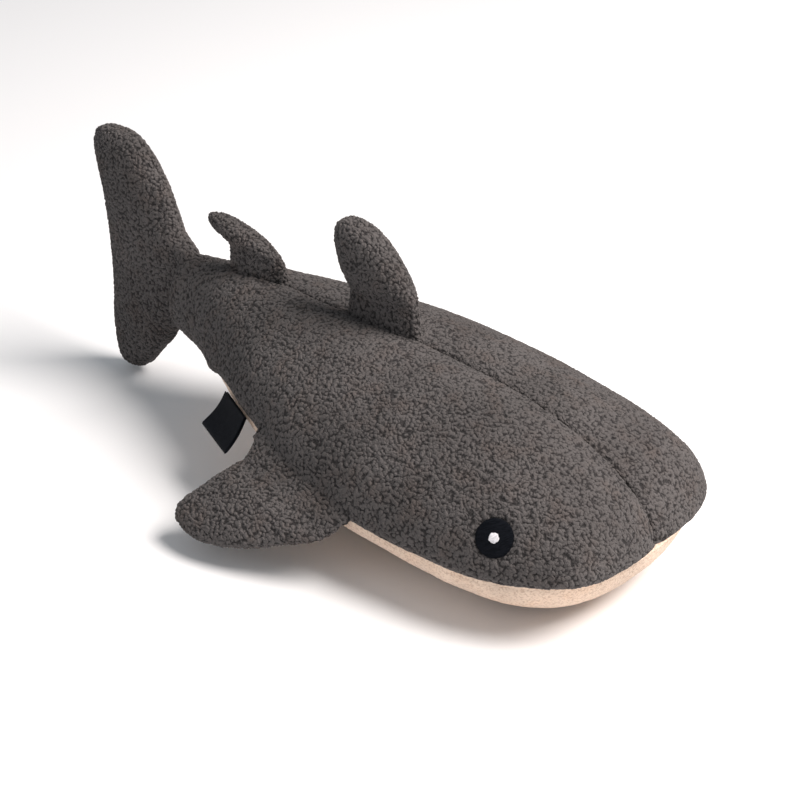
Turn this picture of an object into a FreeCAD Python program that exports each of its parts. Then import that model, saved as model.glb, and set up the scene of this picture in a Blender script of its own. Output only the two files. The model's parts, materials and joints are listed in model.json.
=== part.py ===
"""Plush shark: fleece panels sewn round soft stuffing, with fins and a label that flex at their seams.

Frame: +X runs from the tail to the nose, +Z is up, and Z = 0 is the surface that the belly rests on.
The origin is at the middle of the length and the width. The right side of the shark is at -Y.
Lengths are in millimetres and angles in degrees.
"""
import FreeCAD, Part
import math
import os

Vector = FreeCAD.Vector

# ---------------------------------------------------------------- driving dimensions
NOSE_X = 212.0              # tip of the nose
RUMP_X = -138.0             # rear end of the stuffed body, in front of the tail fin
NOSE_Z = 40.6               # height of the nose tip, where all three body seams meet

FLEECE = 2.8                # curly grey fleece, pile included
FILL_GAP = 0.3              # space between a fleece panel and the stuffing
UPPER_ROUND = 1.83          # superellipse exponent of the body above its widest line
HEAD_ROUND = 2.15           # the same at the nose, where the head is fuller
LOWER_ROUND = 1.75          # the same below it
CHEEK_ROUND = 2.0           # the same below it on the head, where the cheeks are fuller
HEAD_BLEND_ROUND = 2.0      # how the exponent above the widest line passes from body to nose
BELLY_SAG = 3.0             # how far the belly's round shape would reach below the surface it rests on

# Body lines along X as (x, value). Past the last station each line closes round the nose.
HALF_WIDTHS = [(-125, 20), (-84, 36), (-30, 65), (27, 86), (77, 90), (124, 87)]
BACK_HEIGHTS = [(-125, 106), (-74, 112), (-24, 111), (27, 112), (70, 109)]
WIDEST_HEIGHTS = [(-125, 66), (-41, 59), (44, 42.5), (128, 37), (NOSE_X, NOSE_Z)]
BOTTOM_HEIGHTS = [(-125, 43), (-57, 26), (27, 0), (160, 0)]
NOSE_PLAN_ROUND = 2.29
NOSE_BACK_ROUND = 1.94
CHIN_ROUND = 1.8
RUMP_ROUND = 2.6

SEAM_TURN_X = -60.0         # behind this the belly panel narrows
SEAM_END_X = -118.0         # where it ends, narrow, under the tail
SEAM_END_RISE = 1.5         # height of the seam above the bottom line there

# Rows of the two dorsal fins are (height above the hinge line, rear edge, front edge, half thickness).
HINGE_LIFT = 4.9            # hinge line above the back
DORSAL_HINGE_Z = 112.0 + HINGE_LIFT
DORSAL_ROWS = [(-4, -6, 46, 0.8), (-2.5, -7, 47.5, 3.1), (0, -8, 48, 4.4), (10, -11, 45, 9.5),
               (20, -15, 39.5, 12), (32, -18, 30, 12), (41, -17.5, 19.5, 10.5), (46.5, -14, 10, 7.5),
               (49, -6, 2, 3)]
REAR_DORSAL_HINGE_Z = 111.5 + HINGE_LIFT
REAR_DORSAL_ROWS = [(-4, -92, -54, 0.8), (-2.5, -94, -52.5, 3), (0, -97, -52, 4.2),
                    (5, -107, -57.5, 7.5), (10, -116, -67, 8.6), (14.5, -119, -80, 7.5),
                    (18, -116, -93, 4.5), (19.3, -110, -99, 2)]

# Tail fin rows are (height, rear edge, front edge, half thickness).
# The front edge leans with the hinge line, just behind the rump.
TAIL_ROWS = [(2.6, -194, -182, 3), (5, -199, -176, 8), (14, -202.5, -168, 10.5), (27, -204, -157, 11.5),
             (42, -204.5, -147.5, 11.5), (60, -203, -144, 11.5), (84, -203, -141.5, 11.5),
             (106, -204.5, -137, 12), (122, -206.5, -141.5, 12), (140, -209.5, -150, 12),
             (154, -211, -160.5, 11), (162, -208, -168, 8.5), (166.5, -199, -180, 4)]

# Pectoral fin: middle of the root, unit directions along the root and out to the tip, for the right side
PECTORAL_ROOT = Vector(28.75, -83, 47)
PECTORAL_ALONG = Vector(0.97, -0.18, -0.18)
PECTORAL_OUT = Vector(-0.26, -0.735, -0.62)
PECTORAL_HINGE_OUT = 9.6    # the hinge line's distance from the middle of the root
# Pectoral rows are (distance from the hinge, rear edge, front edge, half thickness).
PECTORAL_ROWS = [(-3, -38, 42, 0.8), (-1.8, -40, 44, 2.4), (0, -42, 44, 3.4), (8, -45, 38, 7),
                 (18, -48, 27, 8.5), (30, -51, 14.5, 8.5), (41, -54, 1, 8), (50, -53, -13, 6.5),
                 (55.5, -47, -26, 3)]

EYE_CENTRE = Vector(154.6, -74, 61.4)
EYE_NORMAL = Vector(0.26, -0.78, 0.57)
EYE_RADIUS = 10.4
EYE_PROUD = 1.0             # the embroidery's height above the fleece
EYE_DEPTH = 2 * EYE_RADIUS  # length of the cylinder from which the body cuts the disc
GLINT_RADIUS = 2.8
GLINT_PROUD = 0.5

LABEL_REAR = Vector(-56.5, -53.0, 56.3)     # the two ends of the label's seam
LABEL_FRONT = Vector(-28.5, -66.9, 56.3)
LABEL_HANG = Vector(0.0, -0.66, -0.75)
LABEL_LENGTH = 22.0
LABEL_RIBBON = 0.5
LABEL_LOOP_GAP = 0.5
LABEL_CLEAR = 1.6           # from the seam to the label's hinge line

SQUEAKER_CENTRE = Vector(55, 0, 62)
SQUEAKER_RADIUS = 21.0
SQUEAKER_HEIGHT = 26.0
SQUEAKER_WALL = 1.2
SQUEAKER_EDGE = 8.0
REED_RADIUS = 5.0
REED_BORE = 2.0
REED_LENGTH = 7.0

CLOSING_START_X = -84.0     # hand stitches that close the opening through which the toy was stuffed
CLOSING_END_X = -36.0
CLOSING_STITCHES = 9
THREAD_RADIUS = 0.45
THREAD_CLEAR = 0.4
STITCH_LENGTH = 5.0

SECTION_POINTS = 24
BODY_START = math.pi / 4    # body sections start between the seams, and fin sections on their edge seam
ROW_SPACE = 1.0             # the least distance between two rows of a fin
END_SPACE = 0.15            # the nose's last section stops this short of its tip
RUMP_SPACE = 0.5            # the rump's first section stops this short of its end
LEAST_HALF = 0.4            # the smallest half width or height of a body section
LEAST_THICKNESS = 0.35      # the smallest half thickness of a fin section
LEAST_CHORD = 1.0           # the smallest half length of a fin section
BODY_STATIONS = [-118, -98, -74, -46, -16, 14, 46, 80, 112, 138]    # body sections, rump to nose
RUMP_STEPS = [0, 1.5, 5]    # distances of the rump's sections from its end
NOSE_ANGLES = [20, 38, 54, 67, 77, 84, 90]  # the nose's sections, placed as on a quarter circle
SEAM_STEPS = 16             # points along the belly seam
SEAM_NARROW_STEPS = 4       # the same on the narrow stretch under the tail
SEAM_EASE = 1.5             # how gently the seam leaves the widest line there
SEAM_OVERRUN = 8.0          # how far the cut runs on past the nose
SEARCH = 20.0               # how far from a point its nearest surface is looked for
CRUMB = 1.0                 # volume under which a second solid left by a cut is only a crumb
BIG = 600.0                 # larger than the whole toy, for cutting blocks


# ---------------------------------------------------------------- curves and sections
def smooth_line(stations, x):
    """Height or width at x on a smooth line through the stations, with no overshoot between them."""
    if x <= stations[0][0]:
        return stations[0][1]
    if x >= stations[-1][0]:
        return stations[-1][1]
    slopes = [(b[1] - a[1]) / (b[0] - a[0]) for a, b in zip(stations, stations[1:])]
    tangents = [slopes[0]]
    for before, after in zip(slopes, slopes[1:]):
        tangents.append(0.0 if before * after <= 0 else 2 * before * after / (before + after))
    tangents.append(slopes[-1])
    for i, (a, b) in enumerate(zip(stations, stations[1:])):
        if x <= b[0]:
            step = b[0] - a[0]
            t = (x - a[0]) / step
            rise = (2 * t ** 3 - 3 * t ** 2 + 1) * a[1] + (3 * t ** 2 - 2 * t ** 3) * b[1]
            lean = (t ** 3 - 2 * t ** 2 + t) * tangents[i] + (t ** 3 - t ** 2) * tangents[i + 1]
            return rise + step * lean


def closing(x, start, end, exponent):
    """1 at start, falling round a superellipse to 0 at end."""
    t = min(max((x - start) / (end - start), 0.0), 1.0)
    return (1 - t ** exponent) ** (1 / exponent)


def rump_closing(x):
    return closing(x, HALF_WIDTHS[0][0], RUMP_X, RUMP_ROUND)


def half_width(x):
    width = smooth_line(HALF_WIDTHS, x)
    return width * closing(x, HALF_WIDTHS[-1][0], NOSE_X, NOSE_PLAN_ROUND) * rump_closing(x)


def widest_height(x):
    return smooth_line(WIDEST_HEIGHTS, x)


def back_height(x):
    top = smooth_line(BACK_HEIGHTS, x)
    start = BACK_HEIGHTS[-1][0]
    if x > start:
        return NOSE_Z + (top - NOSE_Z) * closing(x, start, NOSE_X, NOSE_BACK_ROUND)
    return widest_height(x) + (top - widest_height(x)) * rump_closing(x)


def bottom_height(x):
    low = smooth_line(BOTTOM_HEIGHTS, x)
    start = BOTTOM_HEIGHTS[-1][0]
    if x > start:
        return NOSE_Z - NOSE_Z * closing(x, start, NOSE_X, CHIN_ROUND)
    return widest_height(x) - (widest_height(x) - low) * rump_closing(x)


def head_share(x):
    """0 along the body, rising smoothly to 1 on the head."""
    t = min(max((x - HALF_WIDTHS[-2][0]) / (HALF_WIDTHS[-1][0] - HALF_WIDTHS[-2][0]), 0.0), 1.0)
    return t * t * (3 - 2 * t)


def sag(x):
    """How far the round belly reaches below the flat on which it rests, at x."""
    first, last = BOTTOM_HEIGHTS[-2][0], BOTTOM_HEIGHTS[-1][0]
    middle = (first + last) / 2
    t = (x - middle) / (last - first)
    return BELLY_SAG * max(0.0, 1 - t ** 4)


def closed_curve(points):
    curve = Part.BSplineCurve()
    curve.interpolate(Points=points, PeriodicFlag=True)
    return Part.Wire([curve.toShape()])


def power(value, exponent):
    """A signed power, for superellipses."""
    return math.copysign(abs(value) ** exponent, value)


def loft(wires):
    solid = Part.makeLoft(wires, True, False)
    if solid.Volume < 0:
        solid.reverse()
    return solid


def body_section(x, inset):
    """The body's outline across X, drawn inset all round."""
    width = max(half_width(x) - inset, LEAST_HALF)
    middle = widest_height(x)
    up = max(back_height(x) - middle - inset, LEAST_HALF)
    down = max(middle - bottom_height(x) + sag(x) - inset, LEAST_HALF)
    blend = closing(x, BACK_HEIGHTS[-1][0], NOSE_X, HEAD_BLEND_ROUND)
    upper_round = HEAD_ROUND + (UPPER_ROUND - HEAD_ROUND) * blend
    lower_round = LOWER_ROUND + (CHEEK_ROUND - LOWER_ROUND) * head_share(x)
    points = []
    for i in range(SECTION_POINTS):
        angle = BODY_START + 2 * math.pi * i / SECTION_POINTS
        above = math.sin(angle) >= 0
        exponent = 2 / (upper_round if above else lower_round)
        rise = up if above else down
        points.append(Vector(x, width * power(math.cos(angle), exponent),
                             middle + rise * power(math.sin(angle), exponent)))
    return closed_curve(points)


def body_solid(inset):
    """The whole stuffed body, drawn inset all round and flat where it rests."""
    rear = RUMP_X + inset + RUMP_SPACE
    nose = NOSE_X - inset - END_SPACE
    head = nose - BODY_STATIONS[-1]
    rump_steps = [rear + step for step in RUMP_STEPS]
    nose_steps = [nose - head * (1 - math.sin(math.radians(angle))) for angle in NOSE_ANGLES]
    solid = loft([body_section(x, inset) for x in rump_steps + BODY_STATIONS + nose_steps])
    above = Part.makeBox(BIG, BIG, BIG, Vector(-BIG / 2, -BIG / 2, inset))
    return solid.common(above)


def fin_section(origin, along, across, rear, front, thickness):
    """One rounded slice through a fin, between its rear and front edges."""
    centre = origin + along * ((rear + front) / 2)
    half = (front - rear) / 2
    points = []
    for i in range(SECTION_POINTS):
        angle = 2 * math.pi * i / SECTION_POINTS
        points.append(centre + along * (half * math.cos(angle)) + across * (thickness * math.sin(angle)))
    return closed_curve(points)


def fin_solid(rows, inset, place, along, across):
    """A stuffed fin lofted through its rows. place(distance) gives a row's origin."""
    low = rows[0][0] + inset
    high = rows[-1][0] - inset
    inner_rows = [row for row in rows[1:-1] if low + ROW_SPACE < row[0] < high - ROW_SPACE]
    wires = []
    for distance, rear, front, thickness in [(low,) + rows[0][1:]] + inner_rows + [(high,) + rows[-1][1:]]:
        thin = max(thickness - inset, LEAST_THICKNESS)
        narrow = min(inset, (front - rear) / 2 - LEAST_CHORD)
        wires.append(fin_section(place(distance), along, across, rear + narrow, front - narrow, thin))
    return loft(wires)


def one_solid(shape, name):
    """The single solid in a shape, or an error that names the piece."""
    solids = sorted(shape.Solids, key=lambda s: s.Volume)
    if not solids or (len(solids) > 1 and solids[-2].Volume > CRUMB):
        raise ValueError(name + " is not one solid")
    return solids[-1]


def side_block(sign):
    """Everything on one side of the middle plane."""
    return Part.makeBox(BIG, BIG, BIG, Vector(-BIG / 2, 0 if sign > 0 else -BIG, -BIG / 2))


def belly_block():
    """Everything below the seam that joins the belly panel to the two side panels."""
    low = -BIG / 2
    seam = [Vector(SEAM_END_X, 0, bottom_height(SEAM_END_X) + SEAM_END_RISE)]
    span = SEAM_TURN_X - SEAM_END_X
    for i in range(1, SEAM_NARROW_STEPS):
        t = i / SEAM_NARROW_STEPS
        x = SEAM_END_X + span * t
        ease = math.sin(t * math.pi / 2) ** SEAM_EASE
        seam.append(Vector(x, 0, bottom_height(x) + (widest_height(x) - bottom_height(x)) * ease))
    for i in range(SEAM_STEPS + 1):
        x = SEAM_TURN_X + (NOSE_X - SEAM_TURN_X) * i / SEAM_STEPS
        seam.append(Vector(x, 0, widest_height(x)))
    seam.append(Vector(NOSE_X + SEAM_OVERRUN, 0, NOSE_Z))
    curve = Part.BSplineCurve()
    curve.interpolate(Points=seam)
    edges = [Part.LineSegment(Vector(seam[0].x, 0, low), seam[0]).toShape(), curve.toShape(),
             Part.LineSegment(seam[-1], Vector(seam[-1].x, 0, low)).toShape(),
             Part.LineSegment(Vector(seam[-1].x, 0, low), Vector(seam[0].x, 0, low)).toShape()]
    face = Part.Face(Part.Wire(edges))
    face.translate(Vector(0, -BIG / 2, 0))
    return face.extrude(Vector(0, BIG, 0))


# ---------------------------------------------------------------- pieces
def squeaker():
    """A hollow bulb and the reed that plugs its top."""
    base = SQUEAKER_CENTRE - Vector(0, 0, SQUEAKER_HEIGHT / 2)
    outer = Part.makeCylinder(SQUEAKER_RADIUS, SQUEAKER_HEIGHT, base)
    outer = outer.makeFillet(SQUEAKER_EDGE, outer.Edges[0:1] + outer.Edges[2:3])
    inner = Part.makeCylinder(SQUEAKER_RADIUS - SQUEAKER_WALL, SQUEAKER_HEIGHT - 2 * SQUEAKER_WALL,
                              base + Vector(0, 0, SQUEAKER_WALL))
    inner = inner.makeFillet(SQUEAKER_EDGE - SQUEAKER_WALL, inner.Edges[0:1] + inner.Edges[2:3])
    reed_base = base + Vector(0, 0, SQUEAKER_HEIGHT - REED_LENGTH)
    plug = Part.makeCylinder(REED_RADIUS, REED_LENGTH, reed_base)
    bore = Part.makeCylinder(REED_BORE, REED_LENGTH, reed_base)
    bulb = outer.cut(inner).cut(plug)
    return outer, {"squeaker_bulb": one_solid(bulb, "squeaker_bulb"), "squeaker_reed": plug.cut(bore)}


def torso():
    """The two side panels, the belly panel and the stuffing with the squeaker in it."""
    outer = body_solid(0.0)
    shell = outer.cut(body_solid(FLEECE))
    belly = belly_block()
    upper = shell.cut(belly)
    squeaker_space, pieces = squeaker()
    fill = body_solid(FLEECE + FILL_GAP).cut(squeaker_space)
    pieces["right_side_panel"] = one_solid(upper.common(side_block(-1)), "right_side_panel")
    pieces["left_side_panel"] = one_solid(upper.common(side_block(1)), "left_side_panel")
    pieces["belly_panel"] = one_solid(shell.common(belly), "belly_panel")
    pieces["body_stuffing"] = one_solid(fill, "body_stuffing")
    return outer, pieces


def mirrored(vector):
    return Vector(vector.x, -vector.y, vector.z)


def eyes(body):
    """Embroidered discs that follow the fleece, each with a small pale glint."""
    pieces = {}
    for side, centre, normal in (("right", EYE_CENTRE, EYE_NORMAL),
                                 ("left", mirrored(EYE_CENTRE), mirrored(EYE_NORMAL))):
        normal = Vector(normal).normalize()
        start = surface_point(body, centre, normal)
        disc = Part.makeCylinder(EYE_RADIUS, EYE_DEPTH, start - normal * (EYE_DEPTH - EYE_PROUD), normal)
        glint = Part.makeCylinder(GLINT_RADIUS, GLINT_PROUD, start + normal * EYE_PROUD, normal)
        pieces[side + "_eye"] = one_solid(disc.cut(body), side + "_eye")
        pieces[side + "_eye_glint"] = glint
    return pieces


def surface_point(body, near, normal):
    """Where the line through near, along normal, leaves the body."""
    line = Part.LineSegment(near - normal * SEARCH, near + normal * SEARCH).toShape()
    inside = line.common(body)
    return max((v.Point for v in inside.Vertexes), key=lambda p: (p - near).dot(normal))


def closing_stitches():
    """Hand stitches across the left belly seam."""
    stitches = []
    for i in range(CLOSING_STITCHES):
        x = CLOSING_START_X + (CLOSING_END_X - CLOSING_START_X) * i / (CLOSING_STITCHES - 1)
        height = widest_height(x) - STITCH_LENGTH / 2
        foot = Vector(x, half_width(x) + THREAD_RADIUS + THREAD_CLEAR, height)
        stitches.append(Part.makeCylinder(THREAD_RADIUS, STITCH_LENGTH, foot))
    return Part.makeCompound(stitches)


def fin_pieces(name, rows, place, along, across, panel_names):
    """Two fleece panels joined round the fin's edge, and the stuffing between them."""
    shell = fin_solid(rows, 0.0, place, along, across).cut(fin_solid(rows, FLEECE, place, along, across))
    middle = Vector(place(0))
    block = Part.makeBox(BIG, BIG, BIG, Vector(-BIG / 2, 0, -BIG / 2))
    turn = FreeCAD.Rotation(Vector(0, 1, 0), across)
    block.Placement = FreeCAD.Placement(middle, turn).multiply(block.Placement)
    pieces = {}
    for panel, half in zip(panel_names, (shell.common(block), shell.cut(block))):
        pieces[name + "_" + panel] = one_solid(half, name + "_" + panel)
    pieces[name + "_stuffing"] = one_solid(fin_solid(rows, FLEECE + FILL_GAP, place, along, across), name)
    return pieces


def dorsal_fins():
    pieces = {}
    for name, rows, hinge_z in (("dorsal_fin", DORSAL_ROWS, DORSAL_HINGE_Z),
                                ("rear_dorsal_fin", REAR_DORSAL_ROWS, REAR_DORSAL_HINGE_Z)):
        pieces.update(fin_pieces(name, rows, lambda s, z=hinge_z: Vector(0, 0, z + s), Vector(1, 0, 0),
                                 Vector(0, 1, 0), ("left_panel", "right_panel")))
    return pieces


def tail_fin():
    return fin_pieces("tail_fin", TAIL_ROWS, lambda z: Vector(0, 0, z), Vector(1, 0, 0), Vector(0, 1, 0),
                      ("left_panel", "right_panel"))


def pectoral_fins():
    pieces = {}
    for side, turn in (("right", Vector), ("left", mirrored)):
        along = turn(PECTORAL_ALONG).normalize()
        out = turn(PECTORAL_OUT)
        out = (out - along * out.dot(along)).normalize()
        across = out.cross(along) if side == "right" else along.cross(out)
        root = turn(PECTORAL_ROOT) + out * PECTORAL_HINGE_OUT
        pieces.update(fin_pieces(side + "_pectoral_fin", PECTORAL_ROWS, lambda s, o=out, r=root: r + o * s,
                                 along, across, ("top_panel", "underside_panel")))
    return pieces


def label():
    """A ribbon folded into a loop, its two ends in the seam."""
    along = LABEL_FRONT - LABEL_REAR
    width = along.Length
    along = along.normalize()
    hang = LABEL_HANG - along * LABEL_HANG.dot(along)
    hang = hang.normalize()
    across = along.cross(hang)
    half = LABEL_RIBBON + LABEL_LOOP_GAP / 2
    inner = LABEL_LOOP_GAP / 2
    start = LABEL_REAR + hang * LABEL_CLEAR
    fold = LABEL_LENGTH - LABEL_CLEAR - half

    def arc(radius):
        return Part.Arc(start + hang * fold + across * radius, start + hang * (fold + radius),
                        start + hang * fold - across * radius).toShape()

    def line(a, b):
        return Part.LineSegment(a, b).toShape()

    edges = [line(start + across * half, start + hang * fold + across * half), arc(half),
             line(start + hang * fold - across * half, start - across * half),
             line(start - across * half, start - across * inner),
             line(start - across * inner, start + hang * fold - across * inner), arc(inner),
             line(start + hang * fold + across * inner, start + across * inner),
             line(start + across * inner, start + across * half)]
    return Part.Face(Part.Wire(Part.__sortEdges__(edges))).extrude(along * width)


def main():
    os.makedirs("parts", exist_ok=True)
    body, pieces = torso()
    pieces.update(eyes(body))
    pieces["closing_stitches"] = closing_stitches()
    pieces.update(dorsal_fins())
    pieces.update(tail_fin())
    pieces.update(pectoral_fins())
    pieces["side_label"] = label()
    for name, shape in pieces.items():
        shape.exportStep("parts/" + name + ".step")


main()
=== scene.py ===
"""Looks of the plush shark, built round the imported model.

Metres. +X runs from the tail to the nose, +Z is up, and Z = 0 is the surface that the belly rests on.
Every fleece panel, fin, stuffing, eye and label is built from the mesh of the CAD node that it replaces.
"""
import json
import math

import bmesh
import bpy
import numpy as np
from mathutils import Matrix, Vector
from mathutils.bvhtree import BVHTree


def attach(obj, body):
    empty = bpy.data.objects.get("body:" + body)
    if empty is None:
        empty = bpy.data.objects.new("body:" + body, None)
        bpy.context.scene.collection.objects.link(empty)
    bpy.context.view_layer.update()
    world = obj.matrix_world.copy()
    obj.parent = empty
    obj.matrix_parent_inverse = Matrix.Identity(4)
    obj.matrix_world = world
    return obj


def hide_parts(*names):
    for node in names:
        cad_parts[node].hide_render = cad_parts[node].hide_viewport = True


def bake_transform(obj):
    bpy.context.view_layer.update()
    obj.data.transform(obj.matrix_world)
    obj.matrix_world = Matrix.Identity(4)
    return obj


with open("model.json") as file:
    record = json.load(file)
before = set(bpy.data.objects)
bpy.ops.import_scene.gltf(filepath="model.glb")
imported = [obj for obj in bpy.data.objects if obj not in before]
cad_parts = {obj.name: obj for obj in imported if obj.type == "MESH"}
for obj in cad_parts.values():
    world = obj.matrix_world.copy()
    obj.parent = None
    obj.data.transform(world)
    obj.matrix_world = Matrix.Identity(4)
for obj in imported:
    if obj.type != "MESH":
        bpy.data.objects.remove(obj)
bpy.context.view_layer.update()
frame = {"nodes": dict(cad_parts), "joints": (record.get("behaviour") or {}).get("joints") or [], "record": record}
NODES = frame["nodes"]
JOINTS = {joint["child"]: joint for joint in frame["joints"]}
BODIES = frame["record"]["behaviour"]["bodies"]

MM = 0.001

# ---------------------------------------------------------------- sizes in metres, and shares
BODY_VOXEL = 4.0 * MM
FIN_VOXEL = 3.0 * MM
SMALL_FIN_VOXEL = 2.0 * MM      # for the rear dorsal fin
FLEECE_SINK = 0.5 * MM          # the mean fleece surface lies this far inside the CAD surface
FLEECE_SHEET = 2.2 * MM         # thickness of a fleece panel
BODY_PUFF = 3.0 * MM            # how far air pressure may move the body's skin
FIN_PUFF = 1.8 * MM
PUFF_PRESSURE = 4.0
PUFF_FRAMES = 20
PUFF_EVEN = 0.65                # share of the swelling that is even; the rest is simulated
GREY_PILE = 1.0 * MM            # height of the curls from gap to tip
PEACH_PILE = 0.3 * MM
CURL = 1.8 * MM                 # size of one curl of the grey fleece
BACK_CREASE = 2.6 * MM          # depth of the sharp crease along the seam of the back
BACK_CREASE_WIDTH = 2.2 * MM
BACK_DIP = 4.4 * MM             # depth of the wide dip between the two rounded sides
BACK_DIP_WIDTH = 15.0 * MM
BROW = 6.0 * MM                 # how far the stuffing bulges at each side of the nose
BROW_X = 191.0 * MM
BROW_Y = 50.0 * MM
BROW_SIZE = 25.0 * MM
FLANK_BULGE = 3.5 * MM          # how far the stuffing rounds out the low flank behind the pectoral fins
FLANK_X = -78.0 * MM
FLANK_Z = 46.0 * MM
FLANK_LENGTH = 38.0 * MM
FLANK_HEIGHT = 26.0 * MM
SEAM_DROP = 4.0 * MM            # how far that pulls the belly seam down
RUMP_BULGE = 9.0 * MM           # how far the stuffed rump reaches back round the root of the tail fin
BELLY_VALLEY = 1.8 * MM
BELLY_VALLEY_WIDTH = 2.6 * MM
PEACH_RECESS = 1.2 * MM         # the short pile of the belly lies lower than the curls
EDGE_VALLEY = 1.2 * MM          # depth of the dip along a fin's edge seam
EDGE_VALLEY_WIDTH = 1.8 * MM
EYE_WELL = 1.3 * MM             # how far the embroidery pulls the fleece in
EYE_WELL_SPREAD = 3.5 * MM
BODY_FILL_SINK = 8.0 * MM       # the body's fibre stays this far in, under the back crease
FIN_FILL_SINK = 2.5 * MM
FIN_FILL_SCALE = 0.82           # draws the fins' fibre in, clear of the thin root corners
SOLE = 8.0 * MM                 # height over which the belly settles on the ground

BODY_RELAX = 6                  # smoothing turns after a remesh
FIN_RELAX = 3
TAIL_RELAX = 2
FILL_RELAX = 3
SKIN_LEVELS = 2                 # subdivision of the body's and the fins' skins
HELD_LEAST = 0.02               # below this a vertex counts as free in the simulation
CUT_NEAR = 1e-7                 # a vertex this near to a seam's cut, or to a plane's, lies on it
PLANE_NEAR = 1e-6
TINY = 1e-9                     # keeps a division from being by 0

SEAM_PROBE = 1.0 * MM           # points are moved out this far before their side of the seam is measured
SEAM_HOLD = 4.0 * MM            # how far from a body seam the fabric is held against the swelling
GREY_EDGE = 1.0 * MM            # the grey pile fades over this much each side of the belly seam
PEACH_EDGE = 3.0 * MM           # width over which the belly sinks to its recess
DIP_ROUND = 1.6                 # how flat the bottom of the dip along the back is
NOSE_START = 180.0 * MM
NOSE_END = 205.0 * MM
NOSE_RECESS = 1.5               # further share of the recess at the tip of the nose
RUMP_START = 95.0 * MM          # distances behind the origin between which the rump's bulge grows
RUMP_END = 136.0 * MM
SEAM_FLATTEN = 0.4              # share of the pile lost along a seam
BODY_LUMPS = 1.6 * MM           # unevenness of the stuffing under the fleece
FIN_LUMPS = 1.2 * MM
LUMP_SIZE = 28.0 * MM
EYE_NEAR = 2.0                  # a well reaches no further than this many eye radii
EYE_EDGE = 1.0 * MM             # width of the bare edge under the rim of the embroidery
EYE_OVERLAP = 0.3 * MM

LABEL_THICKNESS = 0.45 * MM

ROOT_ROWS = 5                   # rows of faces in a fin's run into the body
FIN_SEAM_HOLD = 2.5 * MM
FIN_ROOT_HOLD = (-4.0 * MM, 6.0 * MM)       # from the hinge line: held at the first, free at the second
FIN_SHEET = 0.8                 # a fin's panels as a share of FLEECE_SHEET
FIN_SHEET_EASE = 1.2            # how soon, in sheets from the edge seam, a panel reaches that thickness
FIN_SHEET_LEAST = 0.06
# Heights along the tail's hinge between which its front edge meets the rump, and the depth of that stretch
TAIL_CONTACT_LOW = (-34.0 * MM, -18.0 * MM)
TAIL_CONTACT_HIGH = (26.0 * MM, 37.0 * MM)
TAIL_CONTACT_BACK = (-2.0 * MM, 24.0 * MM)

TAIL_REACH = 15 * MM            # how far the tail fin's front edge runs on into the rump
# How each other fin's root runs on into the body: (keep, reach, flare backwards, flare forwards)
FIN_ROOTS = {
    "dorsal_fin": (5 * MM, 22 * MM, 2 * MM, 2 * MM),
    "rear_dorsal_fin": (3 * MM, 20 * MM, 0 * MM, 4 * MM),
    "right_pectoral_fin": (3 * MM, 26 * MM, 8 * MM, 10 * MM),
    "left_pectoral_fin": (3 * MM, 26 * MM, 8 * MM, 10 * MM),
}

# Pattern of the pile, in sizes of one curl
CURL_DRIFT = 2.5                # size of the patches that push the curls about
CURL_PUSH = 1.6                 # how far they push them
CURL_SHARE = 0.75               # share of the height that is round curls; the rest is strands
STRAND_SHARE = 0.25
STRAND_SIZE = 1.2
STRAND_WIDTH = 0.12
FIBRE_SIZE = 0.35
FIBRE_SHARE = 0.5
WARM_PATCH = 14 * MM
WORN_PATCH = 45 * MM

PATCH_RINGS = 20
PATCH_SPOKES = 96
PATCH_ABOVE = 8 * MM            # how far above the fleece a patch's points are looked for from
PATCH_SEARCH = 30 * MM
EYE_THICKNESS = 0.9 * MM
EYE_TILT = 0.5                  # turn of the stitches, in radians
GLINT_THICKNESS = 0.5 * MM
GLINT_TILT = 0.9

STITCH_COUNT = 9
STITCH_STEPS = 8
STITCH_SLANT = 1.4 * MM
STITCH_BOW = 0.9 * MM
STITCH_BURY = 1.4 * MM
STITCH_ABOVE = 20 * MM
STITCH_RADIUS = 0.45 * MM
THREAD_CORNERS = 10
THREAD_TAPER = 0.45

LABEL_COLUMNS = 32
LABEL_ROWS = 24                 # from the seam to the fold
LABEL_IN_SEAM = 3 * MM
LABEL_GAP = 0.55 * MM           # half the space inside the loop
LABEL_GAP_ROUND = 6
LABEL_CURL = 1.6 * MM
LABEL_TWIST = 2.2 * MM
LABEL_SPLAY = 2.6 * MM
LABEL_SPLAY_ROUND = 1.5
LABEL_SPLAY_FROM = 0.2

CAMERA_LENS = 99.38             # millimetres, on a sensor as wide as SENSOR
SENSOR = 36.0
CAMERA_NEAR = 0.05
CAMERA_TARGET = Vector((0.02974, 0.0, 0.06096))
CAMERA_AZIMUTH = math.radians(40.06)
CAMERA_ELEVATION = math.radians(31.29)
CAMERA_DISTANCE = 1.25
FLOOR_SIZE = 6.0
FLOOR_CELLS = 8


# ---------------------------------------------------------------- mesh helpers
def coords(obj):
    flat = np.empty(len(obj.data.vertices) * 3)
    obj.data.vertices.foreach_get("co", flat)
    return flat.reshape(-1, 3)


def set_coords(obj, points):
    obj.data.vertices.foreach_set("co", np.ascontiguousarray(points, dtype=np.float32).ravel())
    obj.data.update()


def normals(obj):
    flat = np.empty(len(obj.data.vertices) * 3)
    obj.data.vertices.foreach_get("normal", flat)
    return flat.reshape(-1, 3)


def smoothstep(value, low=0.0, high=1.0):
    t = np.clip((value - low) / (high - low), 0.0, 1.0)
    return t * t * (3 - 2 * t)


def bell(value, width):
    return np.exp(-(value / width) ** 2)


def node_points(*nodes):
    return np.concatenate([coords(NODES[node]) for node in nodes])


def new_object(name, data):
    obj = bpy.data.objects.new(name, data)
    bpy.context.scene.collection.objects.link(obj)
    return obj


def from_bmesh(name, mesh):
    data = bpy.data.meshes.new(name)
    mesh.to_mesh(data)
    mesh.free()
    return new_object(name, data)


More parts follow.
